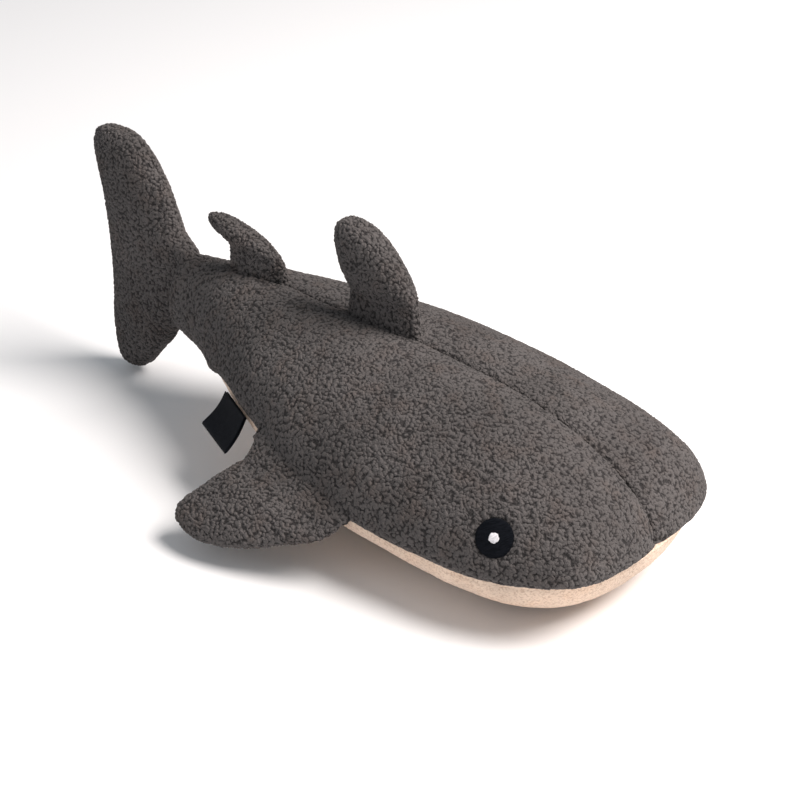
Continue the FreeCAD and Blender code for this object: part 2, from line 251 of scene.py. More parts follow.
def joined(name, nodes):
    """One object with copies of several CAD nodes' meshes."""
    mesh = bmesh.new()
    for node in nodes:
        mesh.from_mesh(NODES[node].data)
    return from_bmesh(name, mesh)


def apply_modifiers(obj):
    graph = bpy.context.evaluated_depsgraph_get()
    data = bpy.data.meshes.new_from_object(obj.evaluated_get(graph))
    obj.modifiers.clear()
    obj.data = data


def remesh(obj, voxel):
    skin = obj.modifiers.new("skin", "REMESH")
    skin.mode = "VOXEL"
    skin.voxel_size = voxel
    apply_modifiers(obj)


def keep_largest(obj):
    """Drops all but the largest connected part of the mesh."""
    mesh = bmesh.new()
    mesh.from_mesh(obj.data)
    unseen = set(mesh.verts)
    parts = []
    while unseen:
        seed = unseen.pop()
        part = [seed]
        waiting = [seed]
        while waiting:
            for edge in waiting.pop().link_edges:
                for vert in edge.verts:
                    if vert in unseen:
                        unseen.remove(vert)
                        part.append(vert)
                        waiting.append(vert)
        parts.append(part)
    parts.sort(key=len)
    for part in parts[:-1]:
        bmesh.ops.delete(mesh, geom=part, context="VERTS")
    mesh.to_mesh(obj.data)
    mesh.free()


def relax(obj, turns):
    smooth = obj.modifiers.new("relax", "SMOOTH")
    smooth.factor = 0.5
    smooth.iterations = turns
    apply_modifiers(obj)


def subdivide(obj, levels):
    surface = obj.modifiers.new("subdivide", "SUBSURF")
    surface.levels = levels
    surface.render_levels = levels
    apply_modifiers(obj)


def solidify(obj, thickness, shares=None):
    """Gives an open sheet its thickness, inwards. shares thins it at each vertex."""
    thick = obj.modifiers.new("thickness", "SOLIDIFY")
    thick.thickness = thickness
    thick.offset = -1.0
    if shares is not None:
        group = obj.vertex_groups.new(name="shares")
        for index, share in enumerate(shares):
            group.add([index], float(share), "REPLACE")
        thick.vertex_group = group.name
    apply_modifiers(obj)
    obj.vertex_groups.clear()


def shade_smooth(obj):
    obj.data.polygons.foreach_set("use_smooth", [True] * len(obj.data.polygons))


def store(obj, name, kind, values):
    """Keeps one value for each vertex as a mesh attribute."""
    attribute = obj.data.attributes.new(name, kind, "POINT")
    field = "vector" if kind == "FLOAT_VECTOR" else "value"
    attribute.data.foreach_set(field, np.ascontiguousarray(values, dtype=np.float32).ravel())


def remove_attribute(obj, name):
    obj.data.attributes.remove(obj.data.attributes[name])


def surface_tree(obj):
    mesh = bmesh.new()
    mesh.from_mesh(obj.data)
    tree = BVHTree.FromBMesh(mesh)
    mesh.free()
    return tree


def distances(tree, points):
    return np.array([tree.find_nearest(Vector(point))[3] for point in points])


def flat_direction(nodes):
    """The direction that most of the nodes' surface faces, as for a disc or a fin."""
    spread = np.zeros((3, 3))
    for node in nodes:
        polygons = NODES[node].data.polygons
        area = np.empty(len(polygons))
        polygons.foreach_get("area", area)
        facing = np.empty(len(polygons) * 3)
        polygons.foreach_get("normal", facing)
        facing = facing.reshape(-1, 3)
        spread += (facing * area[:, None]).T @ facing
    return Vector(np.linalg.eigh(spread)[1][:, -1])


def puff(obj, held, reach):
    """Swells a closed skin: partly evenly, partly as cloth under air pressure.
    It doesn't move where held is 1, and nowhere more than reach."""
    before = coords(obj)
    even = normals(obj) * (reach * (1 - held))[:, None]
    group = obj.vertex_groups.new(name="seams")
    for index in np.nonzero(held > HELD_LEAST)[0]:
        group.add([int(index)], float(held[index]), "REPLACE")
    cloth = obj.modifiers.new("puff", "CLOTH")
    cloth.settings.vertex_group_mass = group.name
    cloth.settings.use_pressure = True
    cloth.settings.uniform_pressure_force = PUFF_PRESSURE
    cloth.settings.effector_weights.gravity = 0.0
    cloth.collision_settings.use_collision = False
    cloth.point_cache.frame_start = 1
    cloth.point_cache.frame_end = PUFF_FRAMES
    for number in range(1, PUFF_FRAMES + 1):
        bpy.context.scene.frame_set(number)
    apply_modifiers(obj)
    bpy.context.scene.frame_set(1)
    obj.vertex_groups.clear()
    move = coords(obj) - before
    length = np.linalg.norm(move, axis=1)
    share = np.minimum(1.0, reach / np.maximum(length, TINY))
    set_coords(obj, before + even * PUFF_EVEN + move * share[:, None] * (1 - PUFF_EVEN))


def split(obj, values, panels):
    """Cuts the surface where the values cross zero. panels gives each new piece's name and a test of
    its faces, which gets a face's mean value and its middle."""
    mesh = bmesh.new()
    mesh.from_mesh(obj.data)
    place = mesh.verts.layers.float_vector.new("place")
    for vert, value in zip(mesh.verts, values):
        vert[place] = vert.co
        vert.co = (vert.co.x, vert.co.y, value)
    everything = mesh.verts[:] + mesh.edges[:] + mesh.faces[:]
    bmesh.ops.bisect_plane(mesh, geom=everything, dist=CUT_NEAR, plane_co=(0, 0, 0), plane_no=(0, 0, 1))
    means = [sum(vert.co.z for vert in face.verts) / len(face.verts) for face in mesh.faces]
    for vert in mesh.verts:
        vert.co = vert[place]
    mesh.verts.layers.float_vector.remove(place)
    middles = [face.calc_center_median() for face in mesh.faces]
    pieces = []
    for name, inside in panels:
        part = mesh.copy()
        drop = [face for face, mean, middle in zip(part.faces, means, middles) if not inside(mean, middle)]
        bmesh.ops.delete(part, geom=drop, context="FACES")
        pieces.append(from_bmesh(name, part))
    mesh.free()
    return pieces


def cut_plane(obj, point, normal):
    """New edges where a plane crosses the surface."""
    mesh = bmesh.new()
    mesh.from_mesh(obj.data)
    everything = mesh.verts[:] + mesh.edges[:] + mesh.faces[:]
    bmesh.ops.bisect_plane(mesh, geom=everything, dist=PLANE_NEAR, plane_co=point, plane_no=normal)
    mesh.to_mesh(obj.data)
    mesh.free()


# ---------------------------------------------------------------- node helpers
def feed(tree, socket, value):
    if isinstance(value, bpy.types.NodeSocket):
        tree.links.new(value, socket)
    else:
        socket.default_value = value


def arithmetic(tree, operation, first, second=0.0):
    made = tree.nodes.new("ShaderNodeMath")
    made.operation = operation
    feed(tree, made.inputs[0], first)
    feed(tree, made.inputs[1], second)
    return made.outputs[0]


def vector_math(tree, operation, first, second):
    """The result of a vector operation. For SCALE, second is a number."""
    made = tree.nodes.new("ShaderNodeVectorMath")
    made.operation = operation
    feed(tree, made.inputs[0], first)
    feed(tree, made.inputs["Scale" if operation == "SCALE" else 1], second)
    return made.outputs[0]


def noise(tree, point, size, detail=2.0):
    """(value, colour) of a soft noise whose patches are about size across."""
    made = tree.nodes.new("ShaderNodeTexNoise")
    feed(tree, made.inputs["Vector"], point)
    made.inputs["Scale"].default_value = 1 / size
    made.inputs["Detail"].default_value = detail
    return made.outputs[0], made.outputs[1]


def cells(tree, point, size):
    """Distance to the middle of the nearest cell, in a pattern of cells about size across."""
    made = tree.nodes.new("ShaderNodeTexVoronoi")
    feed(tree, made.inputs["Vector"], point)
    made.inputs["Scale"].default_value = 1 / size
    return made.outputs[0]


def fade(tree, value, low, high, start=0.0, end=1.0):
    """Smooth change from start to end as value goes from low to high."""
    made = tree.nodes.new("ShaderNodeMapRange")
    made.interpolation_type = "SMOOTHSTEP"
    for index, number in enumerate((value, low, high, start, end)):
        feed(tree, made.inputs[index], number)
    return made.outputs[0]


def mix(tree, share, first, second, method="MIX"):
    made = tree.nodes.new("ShaderNodeMix")
    made.data_type = "RGBA"
    made.blend_type = method
    feed(tree, made.inputs[0], share)
    feed(tree, made.inputs[6], first)
    feed(tree, made.inputs[7], second)
    return made.outputs[2]


def bump(tree, shader, height, depth):
    made = tree.nodes.new("ShaderNodeBump")
    made.inputs["Strength"].default_value = 1.0
    made.inputs["Distance"].default_value = depth
    feed(tree, made.inputs["Height"], height)
    feed(tree, shader.inputs["Normal"], made.outputs[0])


def material(name, roughness, sheen=0.0, specular=0.25):
    """(material, its node tree, its shader) with the values that are the same all over."""
    made = bpy.data.materials.new(name)
    made.use_nodes = True
    tree = made.node_tree
    shader = tree.nodes["Principled BSDF"]
    shader.inputs["Roughness"].default_value = roughness
    shader.inputs["Sheen Weight"].default_value = sheen
    shader.inputs["Specular IOR Level"].default_value = specular
    return made, tree, shader


def rest_point(tree):
    """Each point's place before the toy was posed, so that a pattern stays on its cloth."""
    made = tree.nodes.new("ShaderNodeAttribute")
    made.attribute_name = "rest"
    return made.outputs["Vector"]


def curl_height(tree, point, size):
    """Height of a curly pile: 0 in the gaps and 1 on the curls, which are about size across."""
    push = vector_math(tree, "SUBTRACT", noise(tree, point, CURL_DRIFT * size, 1.0)[1], (0.5, 0.5, 0.5))
    bent = vector_math(tree, "ADD", point, vector_math(tree, "SCALE", push, CURL_PUSH * size))
    blob = fade(tree, cells(tree, bent, size), 0.85, 0.25)
    wave = arithmetic(tree, "SUBTRACT", noise(tree, bent, STRAND_SIZE * size, 1.0)[0], 0.5)
    strand = fade(tree, arithmetic(tree, "ABSOLUTE", wave), STRAND_WIDTH, 0.0)
    curls = arithmetic(tree, "MULTIPLY", blob, CURL_SHARE)
    return arithmetic(tree, "ADD", curls, arithmetic(tree, "MULTIPLY", strand, STRAND_SHARE))


# ---------------------------------------------------------------- materials
def fleece(name, size, depth, gap, tip, warm, sheen):
    """Curly or short pile. gap and tip are its darkest and lightest colours: gap is painted shade in the hollows
    between the curls, and tip is the fleece's own colour brightened by painted light on the curl tips, and warm
    tints patches of it.
    """
    made, tree, shader = material(name, 0.95, sheen)
    point = rest_point(tree)
    height = curl_height(tree, point, size)
    fibre = arithmetic(tree, "SUBTRACT", noise(tree, point, FIBRE_SIZE * size, 2.0)[0], 0.5)
    light = arithmetic(tree, "ADD", height, arithmetic(tree, "MULTIPLY", fibre, FIBRE_SHARE))
    # painted shade and light: the colour runs from gap in the hollows between the curls to tip on the curl tops
    colour = mix(tree, fade(tree, light, 0.05, 0.62), gap, tip)
    patches = fade(tree, noise(tree, point, WARM_PATCH, 3.0)[0], 0.45, 0.75, 0.0, 0.5)
    colour = mix(tree, patches, colour, warm, "MULTIPLY")
    worn = fade(tree, noise(tree, point, WORN_PATCH, 3.0)[0], 0.3, 0.7, 0.86, 1.14)
    colour = mix(tree, 1.0, colour, worn, "MULTIPLY")
    feed(tree, shader.inputs["Base Color"], colour)
    bump(tree, shader, light, depth)
    return made


def thread(name, dark, painted_sheen, size, roughness=0.5, specular=0.25):
    """Satin stitches side by side, which run along the first direction of the rest attribute. The pale colour is
    painted sheen along the raised ridges of the stitches.
    """
    made, tree, shader = material(name, roughness, 0.0, specular)
    point = rest_point(tree)
    stretched = vector_math(tree, "MULTIPLY", point, (0.12, 1.0, 1.0))
    value = noise(tree, stretched, size, 2.0)[0]
    ridge = fade(tree, arithmetic(tree, "ABSOLUTE", arithmetic(tree, "SUBTRACT", value, 0.5)), 0.16, 0.0)
    # painted sheen: the pale colour goes on the raised ridges of the stitches
    feed(tree, shader.inputs["Base Color"], mix(tree, ridge, dark, painted_sheen))
    bump(tree, shader, ridge, 0.25 * MM)
    return made


def fibre_fill():
    made, tree, shader = material("polyester_fibre", 0.8, 0.3)
    point = rest_point(tree)
    tangle = noise(tree, point, 5 * MM, 6.0)[0]
    feed(tree, shader.inputs["Base Color"], mix(tree, tangle, (0.62, 0.62, 0.6, 1), (0.86, 0.86, 0.84, 1)))
    bump(tree, shader, tangle, 2.0 * MM)
    return made


def ribbon():
    """Woven satin ribbon: fine ribs across, with soft paler patches."""
    made, tree, shader = material("woven_ribbon", 0.7, 0.0, 0.08)
    point = rest_point(tree)
    parts = tree.nodes.new("ShaderNodeSeparateXYZ")
    feed(tree, parts.inputs[0], point)
    along = arithmetic(tree, "MULTIPLY", parts.outputs[0], 2 * math.pi / (0.45 * MM))
    down = arithmetic(tree, "MULTIPLY", parts.outputs[1], 2 * math.pi / (0.6 * MM))
    weave = arithmetic(tree, "MULTIPLY", arithmetic(tree, "SINE", along), arithmetic(tree, "SINE", down))
    patch = noise(tree, point, 3 * MM, 3.0)[0]
    base = mix(tree, fade(tree, weave, -1.0, 1.0), (0.003, 0.004, 0.006, 1), (0.009, 0.010, 0.014, 1))
    feed(tree, shader.inputs["Base Color"], mix(tree, fade(tree, patch, 0.4, 0.8, 0.0, 0.4), base,
                                               (0.014, 0.015, 0.02, 1)))
    bump(tree, shader, weave, 0.06 * MM)
    return made


def plastic(name, colour, roughness):
    made, tree, shader = material(name, roughness)
    where = tree.nodes.new("ShaderNodeTexCoord").outputs["Object"]
    cloud = noise(tree, where, 6 * MM, 4.0)[0]
    paler = tuple(min(1.0, channel * 1.25) for channel in colour[:3]) + (1,)
    feed(tree, shader.inputs["Base Color"], mix(tree, cloud, colour, paler))
    bump(tree, shader, cloud, 0.1 * MM)
    return made


# In each fleece below, the gap colour is painted shade between the curls and the tip colour is partly painted
# light on the curl tips.
GREY = fleece("grey_fleece", CURL, 0.7 * MM, (0.024, 0.0215, 0.0215, 1), (0.092, 0.083, 0.081, 1),
              (1.0, 0.86, 0.78, 1), 0.06)
PEACH = fleece("peach_fleece", 1.3 * MM, 0.25 * MM, (0.56, 0.41, 0.315, 1), (0.73, 0.575, 0.46, 1),
               (1.0, 0.92, 0.86, 1), 0.1)
# The second colour of each thread below is painted sheen on the raised stitch ridges.
EYE_THREAD = thread("black_thread", (0.002, 0.003, 0.005, 1), (0.005, 0.006, 0.009, 1), 0.9 * MM, 0.8, 0.08)
GLINT_THREAD = thread("white_thread", (0.72, 0.7, 0.73, 1), (0.9, 0.88, 0.91, 1), 0.7 * MM)
SEWING_THREAD = thread("grey_thread", (0.05, 0.045, 0.045, 1), (0.14, 0.13, 0.13, 1), 0.4 * MM)
FIBRE = fibre_fill()
RIBBON = ribbon()


# ---------------------------------------------------------------- pile and panels
def raise_pile(obj, pile, lumps):
    """Moves the surface out and in with the curls. pile is the height at each vertex, and lumps the depth of
    the soft unevenness of the stuffing underneath."""
    store(obj, "rest", "FLOAT_VECTOR", coords(obj))
    store(obj, "pile", "FLOAT", pile)
    tree = bpy.data.node_groups.new("pile", "GeometryNodeTree")
    tree.interface.new_socket("Geometry", in_out="INPUT", socket_type="NodeSocketGeometry")
    tree.interface.new_socket("Geometry", in_out="OUTPUT", socket_type="NodeSocketGeometry")
    start = tree.nodes.new("NodeGroupInput")
    end = tree.nodes.new("NodeGroupOutput")
    named = tree.nodes.new("GeometryNodeInputNamedAttribute")
    named.data_type = "FLOAT"
    named.inputs[0].default_value = "pile"
    point = tree.nodes.new("GeometryNodeInputPosition").outputs[0]
    curls = arithmetic(tree, "MULTIPLY", arithmetic(tree, "SUBTRACT", curl_height(tree, point, CURL), 0.5),
                       named.outputs[0])
    swell = arithmetic(tree, "SUBTRACT", noise(tree, point, LUMP_SIZE, 2.0)[0], 0.5)
    rise = arithmetic(tree, "ADD", curls, arithmetic(tree, "MULTIPLY", swell, lumps))
    outward = tree.nodes.new("GeometryNodeInputNormal").outputs[0]
    move = tree.nodes.new("GeometryNodeSetPosition")
    feed(tree, move.inputs["Geometry"], start.outputs[0])
    feed(tree, move.inputs["Offset"], vector_math(tree, "SCALE", outward, rise))
    feed(tree, end.inputs[0], move.outputs[0])
    obj.modifiers.new("pile", "NODES").node_group = tree
    apply_modifiers(obj)


def finish_piece(obj, look, nodes, body=None):
    """Material, CAD nodes and slot of a finished piece, which rides on the body when one is given."""
    obj.data.materials.clear()
    obj.data.materials.append(look)
    shade_smooth(obj)
    if body:
        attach(obj, body)
    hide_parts(*nodes)


def remove(obj):
    bpy.data.objects.remove(obj)


# ---------------------------------------------------------------- torso
def belly_side():
    """A function that gives how far points lie above the belly seam: below 0 on the belly panel."""
    sides = joined("side_panels", ("right_side_panel", "left_side_panel"))
    belly = joined("belly", ("belly_panel",))
    side_tree = surface_tree(sides)
    belly_tree = surface_tree(belly)
    remove(sides)
    remove(belly)
    return lambda points: distances(belly_tree, points) - distances(side_tree, points)


def eye_frame(side):
    """(middle, outward direction, radius) of an embroidered eye."""
    glint = node_points(side + "_eye_glint")
    hub = Vector((glint.min(0) + glint.max(0)) / 2)
    outward = flat_direction((side + "_eye_glint",))
    if outward.y * hub.y < 0:
        outward = -outward
    across = node_points(side + "_eye") - np.array(hub)
    flat = across - np.outer(across @ np.array(outward), outward)
    return hub, outward, float(np.linalg.norm(flat, axis=1).max())


def torso():
    """The three fleece panels of the body. Returns the smooth skin before its creases and pile, on which
    the eyes and the stitches are laid."""
    nodes = ("right_side_panel", "left_side_panel", "belly_panel", "body_stuffing")
    above_seam = belly_side()
    skin = joined("torso_skin", nodes)
    remesh(skin, BODY_VOXEL)
    keep_largest(skin)
    relax(skin, BODY_RELAX)
    start = coords(skin)
    outward = normals(skin)
    seam = above_seam(start + outward * SEAM_PROBE)
    held = np.maximum(bell(seam, SEAM_HOLD), bell(start[:, 1], SEAM_HOLD) * (seam > 0))
    inset = FLEECE_SINK + BODY_PUFF * (1 - held)
    set_coords(skin, start - outward * inset[:, None])
    puff(skin, held, BODY_PUFF)
    subdivide(skin, SKIN_LEVELS)
    ground = surface_tree(skin)

    points = coords(skin)
    outward = normals(skin)
    flank = bell(points[:, 0] - FLANK_X, FLANK_LENGTH) * bell(points[:, 2] - FLANK_Z, FLANK_HEIGHT)
    seam = above_seam(points + outward * (FLEECE_SINK + SEAM_PROBE)) + SEAM_DROP * flank
    grey = smoothstep(seam, -GREY_EDGE, GREY_EDGE)
    peach = smoothstep(-seam, 0.0, PEACH_EDGE)
    side = np.abs(points[:, 1])
    crease = np.exp(-side / BACK_CREASE_WIDTH) * grey
    dip = np.exp(-(side / BACK_DIP_WIDTH) ** DIP_ROUND) * grey
    hem = bell(seam, BELLY_VALLEY_WIDTH)
    brow = bell(points[:, 0] - BROW_X, BROW_SIZE) * bell(side - BROW_Y, BROW_SIZE) * grey
    nose = smoothstep(points[:, 0], NOSE_START, NOSE_END)
    depth = BACK_CREASE * crease + BACK_DIP * dip + BELLY_VALLEY * hem
    depth += PEACH_RECESS * peach * (1 + NOSE_RECESS * nose) - BROW * brow - FLANK_BULGE * flank
    bare = np.zeros(len(points))
    for name in ("right", "left"):
        hub, normal, radius = eye_frame(name)
        away = points - np.array(hub)
        flat = np.linalg.norm(away - np.outer(away @ np.array(normal), normal), axis=1)
        near = np.linalg.norm(away, axis=1) < EYE_NEAR * radius
        well = near * smoothstep(radius + EYE_WELL_SPREAD - flat, 0.0, EYE_WELL_SPREAD + EYE_EDGE)
        depth += EYE_WELL * well
        bare = np.maximum(bare, near * smoothstep(radius - flat, -EYE_OVERLAP, EYE_EDGE))
    points = points - outward * depth[:, None]
    points[:, 0] -= RUMP_BULGE * smoothstep(-points[:, 0], RUMP_START, RUMP_END)
    lowest = points[:, 2].min()
    points[:, 2] -= lowest * smoothstep(SOLE - points[:, 2], 0.0, SOLE)
    set_coords(skin, points)

    pile = (GREY_PILE * grey + PEACH_PILE * (1 - grey)) * (1 - bare)
    pile = pile * (1 - SEAM_FLATTEN * np.maximum(crease, hem))
    raise_pile(skin, pile, BODY_LUMPS)
    points = coords(skin)
    points[:, 2] = np.maximum(points[:, 2], 0.0)
    set_coords(skin, points)
    remove_attribute(skin, "pile")
    store(skin, "seam", "FLOAT", seam)
    cut_plane(skin, (0, 0, 0), (0, 1, 0))
    values = np.empty(len(skin.data.vertices))
    skin.data.attributes["seam"].data.foreach_get("value", values)
    remove_attribute(skin, "seam")
    panels = split(skin, values, (
        ("right_side_fleece", lambda mean, middle: mean > 0 and middle.y < 0),
        ("left_side_fleece", lambda mean, middle: mean > 0 and middle.y >= 0),
        ("belly_fleece", lambda mean, middle: mean <= 0)))
    looks = ((GREY, "grey_fleece", "right_side_panel"), (GREY, "grey_fleece", "left_side_panel"),
             (PEACH, "belly_fleece", "belly_panel"))
    for panel, (look, slot, node) in zip(panels, looks):
        solidify(panel, FLEECE_SHEET)
        finish_piece(panel, look, (node,), "torso")
    remove(skin)
    return ground


def stuffing(body):
    """A lump of fibre in place of a plain stuffing solid."""
    node = next(name for name in BODIES[body] if name.endswith("stuffing"))
    lump = joined(node.replace("stuffing", "fibre_fill"), (node,))
    remesh(lump, BODY_VOXEL)
    relax(lump, FILL_RELAX)
    sink = BODY_FILL_SINK if body == "torso" else FIN_FILL_SINK
    set_coords(lump, coords(lump) - normals(lump) * sink)
    if body != "torso":
        middle = coords(lump).mean(0)
        set_coords(lump, middle + (coords(lump) - middle) * FIN_FILL_SCALE)
    store(lump, "rest", "FLOAT_VECTOR", coords(lump))
    finish_piece(lump, FIBRE, (node,), body)


# ---------------------------------------------------------------- fins
def fin_frame(body):
    """(hinge point, direction along the hinge, out towards the tip, across the fin)."""
    joint = JOINTS[body]
    hinge = Vector(joint["pos_m"])
    along = Vector(joint["axis"]).normalized()
    if along.x < 0:
        along = -along
    across = flat_direction(BODIES[body])
    across = (across - along * across.dot(along)).normalized()
    out = across.cross(along)
    points = node_points(*BODIES[body])
    if (Vector((points.min(0) + points.max(0)) / 2) - hinge).dot(out) < 0:
        out = -out
    return hinge, along, out, across


def grow_root(obj, hinge, along, out, keep, reach, flare):
    """Cuts off the fin's narrow root at keep from the hinge line and runs its full section on into the body,
    reach long. flare widens the far end of it, as (backwards, forwards) along the hinge."""
    mesh = bmesh.new()
    mesh.from_mesh(obj.data)
    everything = mesh.verts[:] + mesh.edges[:] + mesh.faces[:]
    bmesh.ops.bisect_plane(mesh, geom=everything, plane_co=hinge + out * keep, plane_no=out, clear_inner=True)
    rim = [edge for edge in mesh.edges if edge.is_boundary]
    places = [(vert.co - hinge).dot(along) for edge in rim for vert in edge.verts]
    middle = (min(places) + max(places)) / 2
    half = (max(places) - min(places)) / 2
    for _ in range(ROOT_ROWS):
        made = bmesh.ops.extrude_edge_only(mesh, edges=rim)["geom"]
        rim = [part for part in made if isinstance(part, bmesh.types.BMEdge) and part.is_boundary]
        for vert in (part for part in made if isinstance(part, bmesh.types.BMVert)):
            side = ((vert.co - hinge).dot(along) - middle) / half
            widen = flare[1] * max(side, 0.0) + flare[0] * min(side, 0.0)
            vert.co = vert.co - out * (reach / ROOT_ROWS) + along * (widen / ROOT_ROWS)
    bmesh.ops.holes_fill(mesh, edges=rim)
    bmesh.ops.recalc_face_normals(mesh, faces=mesh.faces[:])
    mesh.to_mesh(obj.data)
    mesh.free()


def regain(obj, hinge, out, points):
    """Stretches the fin beyond its hinge line to the full length that remeshing rounded off."""
    away = coords(obj) - np.array(hinge)
    reach = away @ np.array(out)
    full = ((points - np.array(hinge)) @ np.array(out)).max()
    grow = np.maximum(reach, 0.0) * (full / reach.max() - 1)
    set_coords(obj, coords(obj) + np.outer(grow, out))


def grow_tail(obj, hinge, along, out):
    """Stretches the tail fin's front edge forwards into the rump, over the height where they are sewn."""
    points = coords(obj)
    away = points - np.array(hinge)
    up = away @ np.array(along)
    back = away @ np.array(out)
    contact = smoothstep(up, *TAIL_CONTACT_LOW) * (1 - smoothstep(up, *TAIL_CONTACT_HIGH))
    push = TAIL_REACH * contact * (1 - smoothstep(back, *TAIL_CONTACT_BACK))
    set_coords(obj, points - np.outer(push, out))


def fin(body):
    """The two fleece panels of a fin, which run on into the torso at its sewn root."""
    hinge, along, out, across = fin_frame(body)
    voxel = SMALL_FIN_VOXEL if body == "rear_dorsal_fin" else FIN_VOXEL
    skin = joined(body + "_skin", BODIES[body])
    remesh(skin, voxel)
    keep_largest(skin)
    relax(skin, FIN_RELAX)
    if body in FIN_ROOTS:
        keep, reach, backwards, forwards = FIN_ROOTS[body]
        grow_root(skin, hinge, along, out, keep, reach, (backwards, forwards))
        remesh(skin, voxel)
        relax(skin, FIN_RELAX)
    else:
        grow_tail(skin, hinge, along, out)
        remesh(skin, voxel)
        relax(skin, TAIL_RELAX)
    regain(skin, hinge, out, node_points(*BODIES[body]))
    start = coords(skin)
    outward = normals(skin)
    thick = (start - np.array(hinge)) @ np.array(across)
    root = (start - np.array(hinge)) @ np.array(out)
    held = np.maximum(bell(thick, FIN_SEAM_HOLD), 1 - smoothstep(root, *FIN_ROOT_HOLD))
    inset = FLEECE_SINK + FIN_PUFF * (1 - held)
    set_coords(skin, start - outward * inset[:, None])
    puff(skin, held, FIN_PUFF)
    subdivide(skin, SKIN_LEVELS)
    points = coords(skin)
    outward = normals(skin)
    thick = (points - np.array(hinge)) @ np.array(across)
    edge = bell(thick, EDGE_VALLEY_WIDTH)
    set_coords(skin, points - outward * (EDGE_VALLEY * edge)[:, None])
    raise_pile(skin, GREY_PILE * (1 - SEAM_FLATTEN * edge), FIN_LUMPS)
    remove_attribute(skin, "pile")
    values = (coords(skin) - np.array(hinge)) @ np.array(across)
    nodes = [name for name in BODIES[body] if name.endswith("panel")]
    sides = {}
    for name in nodes:
        sides[name] = (np.mean(node_points(name), axis=0) - np.array(hinge)) @ np.array(across)
    upper = max(nodes, key=sides.get)
    lower = min(nodes, key=sides.get)
    panels = split(skin, values, (
        (upper.replace("panel", "fleece"), lambda mean, middle: mean > 0),
        (lower.replace("panel", "fleece"), lambda mean, middle: mean <= 0)))
    for panel, node in zip(panels, (upper, lower)):
        depth = np.abs((coords(panel) - np.array(hinge)) @ np.array(across))
        shares = np.clip(depth / FLEECE_SHEET / FIN_SHEET_EASE, FIN_SHEET_LEAST, 1.0)
        solidify(panel, FLEECE_SHEET * FIN_SHEET, shares)
        finish_piece(panel, GREY, (node,))
        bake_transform(panel)
    remove(skin)


# ---------------------------------------------------------------- eyes
def patch(name, ground, hub, normal, radius_at, height_at, thickness, tilt):
    """A round embroidered patch laid on the ground surface. radius_at(angle) is its outline, and
    height_at(share of the radius) its height above the ground. tilt turns its stitches."""
    side = Vector((0, 0, 1)).cross(normal).normalized()
    up = normal.cross(side)
    mesh = bmesh.new()
    rows = []
    for ring in range(PATCH_RINGS + 1):
        share = ring / PATCH_RINGS
        row = []
        for spoke in range(PATCH_SPOKES if ring else 1):
            angle = 2 * math.pi * spoke / PATCH_SPOKES
            radius = radius_at(angle) * share
            place = hub + side * (radius * math.cos(angle)) + up * (radius * math.sin(angle))
            found = ground.ray_cast(place + normal * PATCH_ABOVE, -normal, PATCH_SEARCH)[0]
            row.append(mesh.verts.new(found + normal * height_at(share)))
        rows.append(row)
    for spoke in range(PATCH_SPOKES):
        after = (spoke + 1) % PATCH_SPOKES
        mesh.faces.new((rows[0][0], rows[1][spoke], rows[1][after]))
        for inner, outer in zip(rows[1:], rows[2:]):
            mesh.faces.new((inner[spoke], outer[spoke], outer[after], inner[after]))
    obj = from_bmesh(name, mesh)
    solidify(obj, thickness)
    away = coords(obj) - np.array(hub)
    first = away @ np.array(side * math.cos(tilt) + up * math.sin(tilt))
    second = away @ np.array(up * math.cos(tilt) - side * math.sin(tilt))
    store(obj, "rest", "FLOAT_VECTOR", np.stack([first, second, 0 * first], axis=1))
    return obj


def eye(side, ground):
    hub, normal, radius = eye_frame(side)
    surface = ground.ray_cast(hub + normal * PATCH_ABOVE, -normal)[0]

    def eye_outline(angle):
        return radius * (1 + 0.006 * math.sin(7 * angle + 1) + 0.004 * math.sin(23 * angle))

    def eye_height(share):
        rim = math.exp(-((share - 0.9) / 0.07) ** 2)
        return (0.15 + 0.45 * (1 - share ** 4) + 0.16 * rim) * MM - EYE_WELL * 0.35 * share ** 2

    disc = patch(side + "_eye_embroidery", ground, surface, normal, eye_outline, eye_height,
                 EYE_THICKNESS, EYE_TILT)
    finish_piece(disc, EYE_THREAD, (side + "_eye",), "torso")

    spots = node_points(side + "_eye_glint") - np.array(hub)
    glint_radius = float(np.linalg.norm(spots - np.outer(spots @ np.array(normal), normal), axis=1).max())

    def glint_outline(angle):
        return glint_radius * (1 + 0.05 * math.cos(5 * angle + 0.6) + 0.03 * math.sin(9 * angle))

    def glint_height(share):
        return (0.75 + 0.35 * (1 - share ** 3)) * MM

    glint = patch(side + "_eye_glint_embroidery", ground, surface, normal, glint_outline, glint_height,
                  GLINT_THICKNESS, GLINT_TILT)
    finish_piece(glint, GLINT_THREAD, (side + "_eye_glint",), "torso")


# ---------------------------------------------------------------- stitches and label
def tube(mesh, points, radius):
    """A round thread along the points, with domed ends."""
    rings = []
    for index, point in enumerate(points):
        before = points[max(index - 1, 0)]
        after = points[min(index + 1, len(points) - 1)]
        ahead = (after - before).normalized()
        side = ahead.orthogonal().normalized()
        other = ahead.cross(side)
        taper = THREAD_TAPER if index in (0, len(points) - 1) else 1.0
        ring = []
        for corner in range(THREAD_CORNERS):
            turn = 2 * math.pi * corner / THREAD_CORNERS
            outward = side * math.cos(turn) + other * math.sin(turn)
            ring.append(mesh.verts.new(point + outward * radius * taper))
        rings.append(ring)
    for first, second in zip(rings, rings[1:]):
        for corner in range(THREAD_CORNERS):
            after = (corner + 1) % THREAD_CORNERS
            mesh.faces.new((first[corner], first[after], second[after], second[corner]))
    mesh.faces.new(rings[0][::-1])
    mesh.faces.new(rings[-1])


